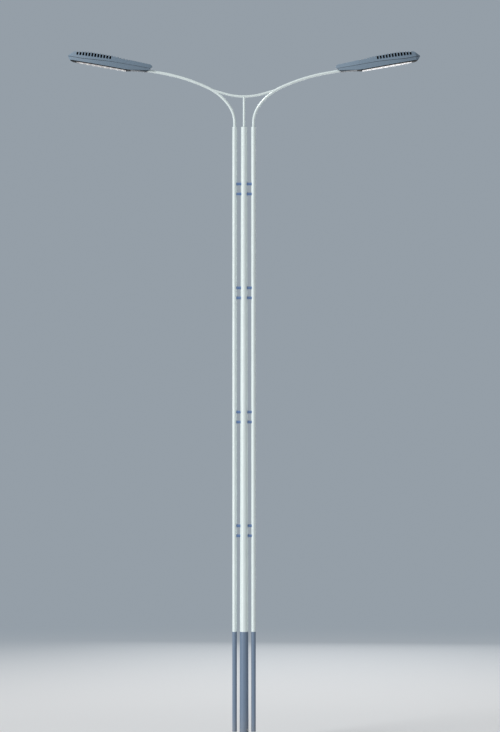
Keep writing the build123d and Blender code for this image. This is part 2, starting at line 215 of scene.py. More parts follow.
class StreetLightColours(bpy.types.PropertyGroup):
    """Colours of the street light's finishes"""

    tube_white: paint("Tube white", "Gloss paint of the tubes, arms, link and rod", (0.80, 0.89, 0.88))
    band_grey: paint("Band blue-grey", "Gloss paint of the foot of the light", (0.17, 0.235, 0.33))
    spacer_blue: paint("Spacer blue", "Paint of the spacer tubes", (0.12, 0.215, 0.43))
    head_grey: paint("Lamp head blue-grey", "Powder coat of the lamp heads", (0.197, 0.268, 0.343))
    driver_cover_grey: paint(
        "Driver cover grey",
        "Powder coat of the covers under the rear of the lamp heads",
        (0.05, 0.065, 0.085),
    )
    # Near-zero black: partly the real anodising, partly painted shade that makes the rib slots and the
    # lens tray's edge read as deep shade
    anodised_black_and_slot_shade: paint(
        "Anodised black", "Finish of the heat sinks and the lens trays", (0.005, 0.005, 0.006)
    )
    lens_beige: paint("Lens panel beige", "Panel and plates under the lamp heads", (0.78, 0.71, 0.68))
    lens_white: paint(
        "Lens white",
        "Pale boards in the middle of the lens plates, and the small lenses",
        (0.95, 0.94, 0.91),
    )
    # Besides the rain streaks, this colour paints shade, with some grime, into the joints of the tubes
    grime: paint("Rain grime", "Streaks that rain leaves on the paint", (0.30, 0.31, 0.29))
    dust: paint("Dust", "Dust on faces that look up, and splashes near the ground", (0.36, 0.33, 0.28))
    backdrop: paint("Backdrop", "Pale colour of the floor and the backdrop", (0.30, 0.345, 0.39))


def sizes():
    """Sizes that are set in the panel."""
    return bpy.context.scene.street_light_sizes


def colours():
    """Colours that are set in the panel."""
    return bpy.context.scene.street_light_colours


def opaque(colour):
    """Colour with full alpha, as a shader socket takes it."""
    return (*colour, 1.0)


# Colours of wear, of painted shade and of small parts, which the panel leaves alone
FADED_BLUE = (0.17, 0.26, 0.43, 1.0)
RUBBED_PRIMER = (0.22, 0.20, 0.18, 1.0)
RUBBED_HEAD_COAT = (0.34, 0.37, 0.40, 1.0)
RUBBED_COVER_COAT = (0.14, 0.15, 0.16, 1.0)
# Painted shade, with some dirt, laid into the parting groove and other hollows of the lamp heads
GROOVE_SHADE_AND_DIRT = (0.035, 0.035, 0.035, 1.0)
DRAWN_BLACK = (0.011, 0.011, 0.012, 1.0)
# Painted shade round the foot of each small lens, where it meets its plate
LENS_RIM_SHADE = (0.42, 0.42, 0.42, 1.0)
LENS_TOP_YELLOW = (0.85, 0.66, 0.26, 1.0)
ZINC_TONES = ((0.38, 0.40, 0.42, 1.0), (0.53, 0.55, 0.57, 1.0))
RED_RUST = (0.20, 0.085, 0.035, 1.0)
SCREW_TONES = ((0.34, 0.34, 0.33, 1.0), (0.50, 0.50, 0.49, 1.0))


# Shapes: each is its vertices, its faces of four corners and its faces of three


def turns(count):
    """Angles of a full turn in equal steps."""
    return np.linspace(0, FULL_TURN, count, endpoint=False)


def round_points(radius, turn, height):
    """Points (r cos a, r sin a, h) about Z, for arrays that broadcast together."""
    parts = np.broadcast_arrays(radius * np.cos(turn), radius * np.sin(turn), height)
    return np.stack(parts, axis=-1)


def grid_faces(rows, columns, closed):
    """Faces of a grid whose columns close round, and whose rows do too where it is closed."""
    row, column = np.meshgrid(np.arange(rows if closed else rows - 1), np.arange(columns), indexing="ij")
    next_row = (row + 1) % rows
    next_column = (column + 1) % columns
    corners = [
        row * columns + column,
        row * columns + next_column,
        next_row * columns + next_column,
        next_row * columns + column,
    ]
    return np.stack(corners, axis=-1).reshape(-1, 4)


def ring_shape(points):
    """Grid of rings that closes on itself both ways, like a hoop."""
    rows, columns = points.shape[:2]
    return points.reshape(-1, 3), grid_faces(rows, columns, True), np.zeros((0, 3), int)


def capped_shape(points):
    """Grid of rings with a pole in the middle of each end ring."""
    rows, columns = points.shape[:2]
    poles = np.stack([points[0].mean(axis=0), points[-1].mean(axis=0)])
    vertices = np.concatenate([points.reshape(-1, 3), poles])
    first_pole = rows * columns
    column = np.arange(columns)
    next_column = (column + 1) % columns
    last_row = (rows - 1) * columns
    start_cap = [np.full(columns, first_pole), next_column, column]
    end_cap = [np.full(columns, first_pole + 1), last_row + column, last_row + next_column]
    caps = np.concatenate([np.stack(start_cap, axis=1), np.stack(end_cap, axis=1)])
    return vertices, grid_faces(rows, columns, False), caps


def turned_rings(profile, columns):
    """Rings about Z, one for each (radius, height) pair of a profile."""
    radius, height = np.array(profile).T[:, :, None]
    return round_points(radius, turns(columns), height)


def lathe(profile, columns):
    """Closed turned shape whose profile runs upwards as (radius, height) pairs."""
    return capped_shape(turned_rings(profile, columns))


THREAD_DEPTH_PER_PITCH = 0.61


def threaded_stud(diameter, low, high, pitch, columns=32, rows_per_turn=8):
    """Stud with a thread: r = R - d (1 - cos(2 pi z / pitch - a)) / 2, with its top bevelled.

    R is the outer radius, d the thread's depth and a the angle round the stud.
    """
    rows = int((high - low) / pitch * rows_per_turn)
    height = np.linspace(low, high, rows)[:, None]
    turn = turns(columns)
    depth = THREAD_DEPTH_PER_PITCH * pitch
    radius = diameter / 2 - depth * (1 - np.cos(FULL_TURN * height / pitch - turn)) / 2
    radius = np.minimum(radius, diameter / 2 - depth + (high - height))
    return capped_shape(round_points(radius, turn, height))


def hex_nut(width, height, columns=48):
    """Hexagonal nut: r = (w / 2) / cos(a mod 60 - 30), cut by a 30 degree cone at both ends.

    The first and the last row lie inside the flat ends, so that these are shaded flat.
    """
    share = np.array([0, 0, 0.04, 0.08, 0.14, 0.5, 0.86, 0.92, 0.96, 1, 1])
    level = (share * height)[:, None]
    turn = turns(columns)
    sixth = FULL_TURN / 6
    flat = width / 2 / np.cos(turn % sixth - sixth / 2)
    end_radius = 0.475 * width
    cone = end_radius + np.minimum(level, height - level) / np.tan(np.radians(30))
    radius = np.minimum(flat, cone)
    radius[[0, -1]] *= 0.9
    return capped_shape(round_points(radius, turn, level))


def flat_ring(inner_radius, outer_radius, thickness, columns=48):
    """Washer: a rectangle with bevelled corners carried round Z."""
    edge = thickness / 6
    profile = [
        (inner_radius, edge),
        (inner_radius + edge, 0),
        (outer_radius - edge, 0),
        (outer_radius, edge),
        (outer_radius, thickness - edge),
        (outer_radius - edge, thickness),
        (inner_radius + edge, thickness),
        (inner_radius, thickness - edge),
    ]
    return ring_shape(turned_rings(profile, columns))


def screw_head(diameter, columns=14):
    """Pan head with a round recess, standing on the plane Z = 0."""
    r = diameter / 2
    profile = [
        (0.98 * r, -0.2 * r),
        (r, 0.25 * r),
        (0.92 * r, 0.5 * r),
        (0.72 * r, 0.66 * r),
        (0.46 * r, 0.72 * r),
        (0.42 * r, 0.66 * r),
        (0.38 * r, 0.3 * r),
    ]
    return lathe(profile, columns)


def small_lens(diameter, columns=12):
    """Low dome of one lens: r = R cos t and h = 0.4 R sin t, from the plate to its top."""
    rise = np.radians([0, 28, 54, 76])
    r = diameter / 2
    return lathe(np.stack([r * np.cos(rise), 0.4 * r * np.sin(rise)], axis=1), columns)


RIPPLE_DEPTH = 0.05
STEPS_PER_RIPPLE = 4


def weld_bead(path, aside, radius, closed=True, columns=8):
    """Bead along a path: p + r (n cos a + b sin a), with a ripple in r like laid coins.

    n is the direction aside, made square to the path's tangent t, and b = t x n.
    """
    if closed:
        tangent = np.roll(path, -1, axis=0) - np.roll(path, 1, axis=0)
    else:
        tangent = np.gradient(path, axis=0)
    tangent = tangent / np.linalg.norm(tangent, axis=1, keepdims=True)
    normal = aside - tangent * np.sum(aside * tangent, axis=1, keepdims=True)
    normal = normal / np.linalg.norm(normal, axis=1, keepdims=True)
    binormal = np.cross(tangent, normal)
    turn = turns(columns)[:, None]
    ripple = np.cos(FULL_TURN * np.arange(len(path)) / STEPS_PER_RIPPLE)
    swell = 1 + RIPPLE_DEPTH * ripple[:, None, None]
    ring = normal[:, None] * np.cos(turn) + binormal[:, None] * np.sin(turn)
    points = path[:, None] + radius * swell * ring
    return ring_shape(points) if closed else capped_shape(points)


def joined(shapes):
    """Several shapes as one."""
    starts = np.cumsum([0] + [len(shape[0]) for shape in shapes[:-1]])
    vertices = np.concatenate([shape[0] for shape in shapes])
    fours = np.concatenate([shape[1] + start for shape, start in zip(shapes, starts)])
    threes = np.concatenate([shape[2] + start for shape, start in zip(shapes, starts)])
    return vertices, fours, threes


def repeated(shape, origins, axis):
    """A shape repeated at each origin, with its own Z along the axis."""
    vertices, fours, threes = shape
    turn = np.array(Vector(UP).rotation_difference(Vector(axis)).to_matrix())
    moved = (vertices @ turn.T)[None] + np.asarray(origins)[:, None]
    shift = (np.arange(len(origins)) * len(vertices))[:, None, None]
    return moved.reshape(-1, 3), (fours + shift).reshape(-1, 4), (threes + shift).reshape(-1, 3)


def on_head(side, shape):
    """A shape moved from a lamp head's own axes, along, across and above, to its side's head."""
    vertices, fours, threes = shape
    along, across, above = vertices.T
    out = HEAD_MOUTH[0] + along * np.cos(HEAD_TILT) - above * np.sin(HEAD_TILT)
    up = HEAD_MOUTH[1] + along * np.sin(HEAD_TILT) + above * np.cos(HEAD_TILT)
    return np.stack([side * out, side * across, up], axis=1), fours, threes


SHARP_EDGE_ANGLE = np.radians(38)


def make_piece(name, shape, finish):
    """Piece with a finish that rides on the light, smooth apart from its sharp edges."""
    vertices, fours, threes = shape
    mesh = bpy.data.meshes.new(name)
    mesh.from_pydata(vertices.tolist(), [], fours.tolist() + threes.tolist())
    mesh.validate()
    mesh.shade_smooth()
    mesh.set_sharp_from_angle(angle=SHARP_EDGE_ANGLE)
    mesh.materials.append(bpy.data.materials[finish])
    piece = bpy.data.objects.new(name, mesh)
    bpy.context.scene.collection.objects.link(piece)
    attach(piece, "root")
    return piece


# Shader nodes


def add_node(tree, kind, inputs=None, **settings):
    """Node of a kind with its settings and its input values or links."""
    node = tree.nodes.new(kind)
    for name, value in settings.items():
        setattr(node, name, value)
    for name, value in (inputs or {}).items():
        if isinstance(value, bpy.types.NodeSocket):
            tree.links.new(value, node.inputs[name])
        else:
            node.inputs[name].default_value = value
    return node


def empty_tree(owner):
    """Node tree of a new material or world, with its first nodes taken out."""
    owner.use_nodes = True
    owner.node_tree.nodes.clear()
    return owner.node_tree


def calculate(tree, operation, *values):
    """Result of a mathematical operation on numbers or links."""
    return add_node(tree, "ShaderNodeMath", dict(enumerate(values)), operation=operation).outputs[0]


def raised(tree, value, mask, amount):
    """Value raised by an amount where a mask is 1."""
    return calculate(tree, "MULTIPLY_ADD", mask, amount, value)


def eased(tree, value, low, high, new_low=0.0, new_high=1.0):
    """Value carried smoothly from one range to another, and held at the ends."""
    ranges = {"Value": value, "From Min": low, "From Max": high, "To Min": new_low, "To Max": new_high}
    node = add_node(tree, "ShaderNodeMapRange", ranges, interpolation_type="SMOOTHSTEP")
    return node.outputs["Result"]


def mixed(tree, factor, first, second, blend_type="MIX"):
    """Colour between two colours."""
    inputs = {"Factor": factor, 6: first, 7: second}
    node = add_node(tree, "ShaderNodeMix", inputs, data_type="RGBA", blend_type=blend_type)
    return node.outputs[2]


def scaled(tree, colour, factor):
    """Colour times a factor that changes over the surface."""
    grey = add_node(tree, "ShaderNodeCombineColor", {"Red": factor, "Green": factor, "Blue": factor})
    return mixed(tree, 1.0, colour, grey.outputs[0], "MULTIPLY")


def covered(tree, mask, surface, cover, roughening):
    """Colour and roughness of a surface that a rougher layer covers where a mask is 1."""
    colour, rough = surface
    return mixed(tree, mask, colour, cover), raised(tree, rough, mask, roughening)


def noise(tree, place, scale, detail=2.0):
    """Soft random value between 0 and 1 that changes over 1 / scale metres."""
    inputs = {"Vector": place, "Scale": scale, "Detail": detail}
    return add_node(tree, "ShaderNodeTexNoise", inputs).outputs[0]


def object_place(tree):
    """Place on the light in metres."""
    return add_node(tree, "ShaderNodeTexCoord").outputs["Object"]


def stretched(tree, place, factors):
    """Place times a factor along each axis, where a small one draws a pattern out."""
    node = add_node(tree, "ShaderNodeVectorMath", {0: place, 1: factors}, operation="MULTIPLY")
    return node.outputs["Vector"]


def surface_normal(tree):
    """Direction that the surface faces."""
    return add_node(tree, "ShaderNodeNewGeometry").outputs["Normal"]


def upward_part(tree, vector):
    """Z of a place or a direction."""
    return add_node(tree, "ShaderNodeSeparateXYZ", {"Vector": vector}).outputs["Z"]


def new_group(name, inputs, outputs):
    """Empty shader group with named inputs and outputs, as (name, socket kind) pairs."""
    group = bpy.data.node_groups.new(name, "ShaderNodeTree")
    for label, kind in inputs:
        group.interface.new_socket(label, in_out="INPUT", socket_type=f"NodeSocket{kind}")
    for label, kind in outputs:
        group.interface.new_socket(label, in_out="OUTPUT", socket_type=f"NodeSocket{kind}")
    given = group.nodes.new("NodeGroupInput").outputs
    results = group.nodes.new("NodeGroupOutput").inputs
    return group, given, results


def use_group(tree, name, inputs):
    """Outputs of a shader group that is placed in a tree with its own values."""
    return add_node(tree, "ShaderNodeGroup", inputs, node_tree=bpy.data.node_groups[name]).outputs


def build_mask_group(find_mask, *size_names):
    """Group that puts out a function's mask times an amount. It has the function's name."""
    inputs = [("Place", "Vector"), *((name, "Float") for name in size_names), ("Amount", "Float")]
    group, given, results = new_group(find_mask.__name__, inputs, [("Mask", "Float")])
    mask = calculate(group, "MULTIPLY", find_mask(group, given), given["Amount"])
    group.links.new(mask, results["Mask"])


def mask_at(tree, name, place, amount, **size):
    """Mask that a mask group puts out at a place."""
    return use_group(tree, name, {"Place": place, "Amount": amount, **size})["Mask"]


def rain_streaks(group, given):
    """Mask of thin upright streaks, in patches."""
    upright = stretched(group, given["Place"], (1.0, 1.0, 0.03))
    fineness = calculate(group, "DIVIDE", 1.0, given["Width"])
    streaks = eased(group, noise(group, upright, fineness, 3.0), 0.50, 0.74)
    patches = eased(group, noise(group, given["Place"], 1.4), 0.42, 0.66)
    return calculate(group, "MULTIPLY", streaks, patches)


def settled_dust(group, given):
    """Mask of dust on faces that look up."""
    upward = eased(group, upward_part(group, surface_normal(group)), 0.35, 0.97)
    clumps = eased(group, noise(group, given["Place"], 26.0, 4.0), 0.30, 0.75, 0.35, 1.0)
    return calculate(group, "MULTIPLY", upward, clumps)


def worn_edges(group, given):
    """Mask of outer edges where the coat is rubbed thin, in patches."""
    rounded = add_node(group, "ShaderNodeBevel", {"Radius": given["Width"]}, samples=6).outputs[0]
    normals = {0: rounded, 1: surface_normal(group)}
    agreement = add_node(group, "ShaderNodeVectorMath", normals, operation="DOT_PRODUCT")
    bend = calculate(group, "SUBTRACT", 1.0, agreement.outputs["Value"])
    patches = eased(group, noise(group, given["Place"], 45.0, 4.0), 0.42, 0.62)
    return calculate(group, "MULTIPLY", eased(group, bend, 0.01, 0.16), patches)


def crevice_shade_and_grime(group, given):
    """Mask of painted shade, with some dirt, in grooves and corners: an occlusion test darkens where shade
    falls, in patches.
    """
    openness = add_node(group, "ShaderNodeAmbientOcclusion", {"Distance": given["Reach"]}, samples=8)
    # Painted shade: the more closed in a point is, the more it is darkened, as if shade fell there
    depth = eased(group, openness.outputs["AO"], 0.45, 0.85, 1.0, 0.0)
    patches = eased(group, noise(group, given["Place"], 55.0, 4.0), 0.2, 0.6, 0.5, 1.0)
    return calculate(group, "MULTIPLY", depth, patches)


def ground_splash(group, given):
    """Mask of a dusty film with fine dried splashes, both thinning out upwards."""
    share = calculate(group, "DIVIDE", upward_part(group, given["Place"]), given["Reach"])
    fall = eased(group, share, 0.0, 1.0, 1.0, 0.0)
    clouds = eased(group, noise(group, given["Place"], 14.0, 5.0), 0.25, 0.8, 0.15, 0.55)
    film = calculate(group, "MULTIPLY", calculate(group, "MULTIPLY", fall, fall), clouds)
    threshold = calculate(group, "MULTIPLY_ADD", fall, -0.2, 0.80)
    above = calculate(group, "SUBTRACT", noise(group, given["Place"], 420.0), threshold)
    return calculate(group, "MAXIMUM", film, eased(group, above, 0.0, 0.06, 0.0, 0.55))


STREAK_WIDTH = 0.012


def build_paint_skin():
    """Group: a coat of paint with uneven tone, streaks, dust and an orange-peel surface."""
    group, given, results = new_group(
        "paint_skin",
        (
            ("Place", "Vector"),
            ("Colour", "Color"),
            ("Grime", "Color"),
            ("Dust", "Color"),
            ("Streaks", "Float"),
            ("Settled dust", "Float"),
            ("Uneven tone", "Float"),
            ("Roughness", "Float"),
            ("Peel size", "Float"),
        ),
        (("Colour", "Color"), ("Roughness", "Float"), ("Height", "Float")),
    )
    place = given["Place"]
    broad = calculate(group, "SUBTRACT", noise(group, place, 2.6, 3.0), 0.5)
    fine = calculate(group, "SUBTRACT", noise(group, place, 70.0, 4.0), 0.5)
    uneven = calculate(group, "ADD", broad, calculate(group, "MULTIPLY", fine, 0.5))
    tone = calculate(group, "MULTIPLY_ADD", uneven, given["Uneven tone"], 1.0)
    coat = (scaled(group, given["Colour"], tone), given["Roughness"])
    streaks = mask_at(group, "rain_streaks", place, given["Streaks"], Width=STREAK_WIDTH)
    dust = mask_at(group, "settled_dust", place, given["Settled dust"])
    coat = covered(group, streaks, coat, given["Grime"], roughening=0.25)
    colour, rough = covered(group, dust, coat, given["Dust"], roughening=0.35)
    peel = noise(group, place, calculate(group, "DIVIDE", 1.0, given["Peel size"]), 1.0)
    group.links.new(colour, results["Colour"])
    group.links.new(raised(group, rough, fine, 0.16), results["Roughness"])
    group.links.new(peel, results["Height"])


def build_head_place():
    """Group: place along, across and above a lamp head's own axis, alike for both heads."""
    group, given, results = new_group(
        "head_place", (("Place", "Vector"),), (("Head place", "Vector"), ("Along", "Float"))
    )
    parts = add_node(group, "ShaderNodeSeparateXYZ", {"Vector": given["Place"]}).outputs
    out = calculate(group, "SUBTRACT", calculate(group, "ABSOLUTE", parts["X"]), HEAD_MOUTH[0])
    up = calculate(group, "SUBTRACT", parts["Z"], HEAD_MOUTH[1])
    cosine, sine = float(np.cos(HEAD_TILT)), float(np.sin(HEAD_TILT))
    along = raised(group, calculate(group, "MULTIPLY", up, sine), out, cosine)
    above = raised(group, calculate(group, "MULTIPLY", out, -sine), up, cosine)
    place = add_node(group, "ShaderNodeCombineXYZ", {"X": along, "Y": parts["Y"], "Z": above})
    group.links.new(place.outputs[0], results["Head place"])
    group.links.new(along, results["Along"])


def build_zinc_spangle():
    """Group: crystal pattern of hot-dip zinc, with a tone and a gloss for each crystal."""
    group, given, results = new_group(
        "zinc_spangle",
        (("Place", "Vector"), ("Crystal size", "Float")),
        (("Colour", "Color"), ("Roughness", "Float")),
    )
    fineness = calculate(group, "DIVIDE", 1.0, given["Crystal size"])
    cells = add_node(group, "ShaderNodeTexVoronoi", {"Vector": given["Place"], "Scale": fineness})
    tone = upward_part(group, cells.outputs["Color"])
    group.links.new(mixed(group, tone, *ZINC_TONES), results["Colour"])
    group.links.new(calculate(group, "MULTIPLY_ADD", tone, -0.2, 0.56), results["Roughness"])


def new_material(name, **uniform):
    """Node tree, shader inputs and place of a new material that has some values the same all over."""
    tree = empty_tree(bpy.data.materials.new(name))
    shader = add_node(tree, "ShaderNodeBsdfPrincipled")
    for label, value in uniform.items():
        shader.inputs[label.replace("_", " ")].default_value = value
    add_node(tree, "ShaderNodeOutputMaterial", {"Surface": shader.outputs["BSDF"]})
    return tree, shader.inputs, object_place(tree)


def set_surface(tree, inputs, colour, roughness, height, depth):
    """Links a shader's colour and roughness, and its height as a bump of a depth in metres."""
    tree.links.new(colour, inputs["Base Color"])
    tree.links.new(roughness, inputs["Roughness"])
    bump = add_node(tree, "ShaderNodeBump", {"Height": height, "Distance": depth, "Strength": 1.0})
    tree.links.new(bump.outputs["Normal"], inputs["Normal"])


def painted(tree, place, colour, streaks, dust, uneven, roughness, peel=0.0028):
    """Colour with roughness, and height, of the paint group with the panel's grime and dust."""
    inputs = {
        "Place": place,
        "Colour": colour,
        "Grime": opaque(colours().grime),
        "Dust": opaque(colours().dust),
        "Streaks": streaks,
        "Settled dust": dust,
        "Uneven tone": uneven,
        "Roughness": roughness,
        "Peel size": peel,
    }
    skin = use_group(tree, "paint_skin", inputs)
    return (skin["Colour"], skin["Roughness"]), skin["Height"]


PAINT_LINE_WANDER = 0.006
PAINT_LINE_BLUR = 0.0006
SPLASH_REACH = 0.6
TUBE_GLOSS = 0.90
BAND_GLOSS = 0.12


def tube_paint():
    """White gloss paint with the blue-grey band below the paint line, and painted shade with some grime in
    its joints.
    """
    tree, inputs, place = new_material("tube_paint", Coat_Roughness=0.08, Coat_IOR=1.7)
    lowest_line = sizes().paint_line - PAINT_LINE_WANDER / 2
    line = raised(tree, lowest_line, noise(tree, place, 25.0), PAINT_LINE_WANDER)
    over_line = calculate(tree, "SUBTRACT", upward_part(tree, place), line)
    above = eased(tree, over_line, -PAINT_LINE_BLUR, PAINT_LINE_BLUR)
    colour = mixed(tree, above, opaque(colours().band_grey), opaque(colours().tube_white))
    tree.links.new(raised(tree, BAND_GLOSS, above, TUBE_GLOSS - BAND_GLOSS), inputs["Coat Weight"])
    coat, peel = painted(tree, place, colour, streaks=0.22, dust=0.12, uneven=0.07, roughness=0.30)
    splash = mask_at(tree, "ground_splash", place, amount=0.8, Reach=SPLASH_REACH)
    # Painted shade, with some grime, in the joints at the tube tops and the weld toes
    joint_shade_and_grime = mask_at(tree, "crevice_shade_and_grime", place, amount=0.6, Reach=0.012)
    coat = covered(tree, splash, coat, opaque(colours().dust), roughening=0.4)
    coat = covered(tree, joint_shade_and_grime, coat, opaque(colours().grime), roughening=0.3)
    set_surface(tree, inputs, *coat, peel, depth=0.00005)


def foot_paint():
    """Blue-grey gloss paint of the flange, the gussets and the door, rubbed at the edges."""
    tree, inputs, place = new_material("foot_paint")
    colour = opaque(colours().band_grey)
    coat, peel = painted(tree, place, colour, streaks=0.35, dust=0.45, uneven=0.10, roughness=0.34)
    splash = mask_at(tree, "ground_splash", place, amount=0.9, Reach=SPLASH_REACH)
    worn = mask_at(tree, "worn_edges", place, amount=0.7, Width=0.002)
    coat = covered(tree, splash, coat, opaque(colours().dust), roughening=0.4)
    coat = covered(tree, worn, coat, RUBBED_PRIMER, roughening=0.25)
    set_surface(tree, inputs, *coat, raised(tree, peel, worn, -1.5), depth=0.00006)


def spacer_paint():
    """Blue paint of the spacers, a little faded where it looks up."""
    tree, inputs, place = new_material("blue_spacer_paint", Coat_Weight=0.4, Coat_Roughness=0.12)
    facing = upward_part(tree, surface_normal(tree))
    faded = calculate(tree, "MULTIPLY", eased(tree, facing, -0.2, 1.0), 0.25)
    colour = mixed(tree, faded, opaque(colours().spacer_blue), FADED_BLUE)
    coat, peel = painted(tree, place, colour, streaks=0.25, dust=0.35, uneven=0.12, roughness=0.36)
    set_surface(tree, inputs, *coat, peel, depth=0.00005)


def powder_coat(name, colour, rubbed_colour, wear, roughness):
    """Powder coat with a fine grain, dust on top, edges rubbed in places, and painted shade with some dirt
    in its grooves.
    """
    tree, inputs, place = new_material(name)
    (tone, rough), peel = painted(
        tree, place, opaque(colour), streaks=0.30, dust=0.35, uneven=0.07, roughness=roughness, peel=0.0016
    )
    worn = mask_at(tree, "worn_edges", place, amount=wear, Width=0.0016)
    # Painted shade with some dirt, darkening the parting groove and other hollows
    groove_shade = mask_at(tree, "crevice_shade_and_grime", place, amount=0.85, Reach=0.010)
    tone = mixed(tree, worn, mixed(tree, groove_shade, tone, GROOVE_SHADE_AND_DIRT), rubbed_colour)
    grain = raised(tree, peel, noise(tree, place, 1500.0, 1.0), 0.5)
    set_surface(tree, inputs, tone, rough, grain, depth=0.00008)


def black_anodising():
    """Matt black finish with fine drawn lines along the head, and some dust on top. Its near-zero black is
    partly painted shade, which deepens the slots between the ribs and the edge of the lens tray.
    """
    tree, inputs, place = new_material("black_anodising", Specular_IOR_Level=0.12)
    head = use_group(tree, "head_place", {"Place": place})
    lines = noise(tree, stretched(tree, head["Head place"], (0.02, 1.0, 1.0)), 900.0, 3.0)
    dust = mask_at(tree, "settled_dust", place, amount=0.05)
    # The panel's black is partly painted shade in the slots between the ribs
    tone = mixed(tree, lines, opaque(colours().anodised_black_and_slot_shade), DRAWN_BLACK)
    colour = mixed(tree, dust, tone, opaque(colours().dust))
    set_surface(tree, inputs, colour, raised(tree, 0.55, lines, 0.25), lines, depth=0.00004)


BOARD_HALF_WIDTH = 0.018
BOARD_EDGE_BLUR = 0.0005


def lens_plastic(name, with_boards):
    """Satin moulded plastic, with a pale board behind the middle of each plate where it has them."""
    tree, inputs, place = new_material(name, Coat_Weight=0.4, Coat_Roughness=0.12)
    base = opaque(colours().lens_beige)
    if with_boards:
        along = use_group(tree, "head_place", {"Place": place})["Along"]
        plate = calculate(tree, "DIVIDE", calculate(tree, "SUBTRACT", along, LENS_START), LENS_PITCH)
        aside = calculate(tree, "SUBTRACT", calculate(tree, "FRACT", plate), 0.5)
        aside = calculate(tree, "MULTIPLY", calculate(tree, "ABSOLUTE", aside), LENS_PITCH)
        board_edge = (BOARD_HALF_WIDTH - BOARD_EDGE_BLUR, BOARD_HALF_WIDTH + BOARD_EDGE_BLUR)
        base = mixed(tree, eased(tree, aside, *board_edge), opaque(colours().lens_white), base)
    cloud = noise(tree, place, 12.0, 3.0)
    toned = scaled(tree, base, raised(tree, 0.92, cloud, 0.16))
    rough = raised(tree, 0.28, cloud, 0.2)
    set_surface(tree, inputs, toned, rough, noise(tree, place, 900.0), depth=0.000015)


def lens_dome_plastic():
    """Glossy lens: painted shade in grey at its rim, white on its flank and warm over the light source at
    its top.
    """
    tree, inputs, place = new_material("lens_dome_plastic", Coat_Weight=0.8, Coat_Roughness=0.05)
    rise = add_node(tree, "ShaderNodeAttribute", attribute_name="rise").outputs["Fac"]
    # The grey at the rim is painted shade where the dome meets its plate
    rim_shade_and_flank = mixed(tree, eased(tree, rise, 0.0, 0.45), LENS_RIM_SHADE, opaque(colours().lens_white))
    colour = mixed(tree, eased(tree, rise, 0.8, 1.0, 0.0, 0.75), rim_shade_and_flank, LENS_TOP_YELLOW)
    toned = scaled(tree, colour, raised(tree, 0.9, noise(tree, place, 60.0), 0.2))
    rough = raised(tree, 0.06, noise(tree, place, 300.0), 0.12)
    set_surface(tree, inputs, toned, rough, noise(tree, place, 240.0), depth=0.00001)


def zinc_steel():
    """Hot-dip zinc on steel, dull, with a little red rust in patches."""
    tree, inputs, place = new_material("zinc_steel", Metallic=0.85)
    spangle = use_group(tree, "zinc_spangle", {"Place": place, "Crystal size": 0.0018})
    rust = eased(tree, noise(tree, place, 60.0, 5.0), 0.60, 0.72, 0.0, 0.55)
    zinc = (spangle["Colour"], spangle["Roughness"])
    height = calculate(tree, "ADD", rust, noise(tree, place, 400.0, 3.0))
    rusted = covered(tree, rust, zinc, RED_RUST, roughening=0.45)
    set_surface(tree, inputs, *rusted, height, depth=0.00006)


def screw_steel():
    """Stainless screws with fine turning marks."""
    tree, inputs, place = new_material("screw_steel", Metallic=1.0)
    marks = noise(tree, place, 1400.0)
    tone = mixed(tree, noise(tree, place, 30.0), *SCREW_TONES)
    set_surface(tree, inputs, tone, raised(tree, 0.25, marks, 0.2), marks, depth=0.00002)


def paint_node(node, finish):
    """Gives a node of the frame its finish."""
    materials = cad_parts[node].data.materials
    materials.clear()
    materials.append(bpy.data.materials[finish])


class STREETLIGHT_OT_mix_finishes(bpy.types.Operator):
    """Build the shader groups and the finishes of the street light"""

    bl_idname = "street_light.mix_finishes"
    bl_label = "Mix the finishes"

    def execute(self, context):
        build_mask_group(rain_streaks, "Width")
        build_mask_group(settled_dust)
        build_mask_group(worn_edges, "Width")
        # Group of painted shade, with some dirt, in grooves and corners
        build_mask_group(crevice_shade_and_grime, "Reach")
        build_mask_group(ground_splash, "Reach")
        build_paint_skin()
        build_head_place()
        build_zinc_spangle()
        tube_paint()
        foot_paint()
        spacer_paint()
        head_grey, cover_grey = colours().head_grey, colours().driver_cover_grey
        powder_coat("head_coat", head_grey, RUBBED_HEAD_COAT, wear=0.45, roughness=0.46)
        powder_coat("driver_cover_coat", cover_grey, RUBBED_COVER_COAT, wear=0.4, roughness=0.5)
        black_anodising()
        lens_plastic("lens_panel_plastic", with_boards=False)
        lens_plastic("lens_plate_plastic", with_boards=True)
        lens_dome_plastic()
        zinc_steel()
        screw_steel()
        return {"FINISHED"}


class STREETLIGHT_OT_paint_tubes(bpy.types.Operator):
    """Paint the pole, the pipes, the arms, the link, the rod, the spacers and the foot"""

    bl_idname = "street_light.paint_tubes"
    bl_label = "Paint the tubes"

    def execute(self, context):
        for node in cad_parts:
            if "spacer" in node:
                paint_node(node, "blue_spacer_paint")
            elif node in ("base_flange", "base_gussets", "service_door"):
                paint_node(node, "foot_paint")
            elif "head" not in node:
                paint_node(node, "tube_paint")
        return {"FINISHED"}


class STREETLIGHT_OT_paint_heads(bpy.types.Operator):
    """Paint the lamp heads"""

    bl_idname = "street_light.paint_heads"
    bl_label = "Paint the lamp heads"

    def execute(self, context):
        finishes = {
            "housing": "head_coat",
            "ribbed_cover": "head_coat",
            "heat_sink": "black_anodising",
            "lens_tray": "black_anodising",
            "lens_panel": "lens_panel_plastic",
            "lens_plates": "lens_plate_plastic",
            "driver_cover": "driver_cover_coat",
        }
        for side_name in SIDE_NAMES.values():
            for piece, finish in finishes.items():
                paint_node(f"{side_name}_head_{piece}", finish)
        return {"FINISHED"}


THREAD_PITCH = 0.003
STUD_FOOT = 0.001


def anchor_places(height):
    """Middles of the anchor holes at a height."""
    return round_points(sizes().anchor_circle / 2, turns(sizes().anchor_count), height)


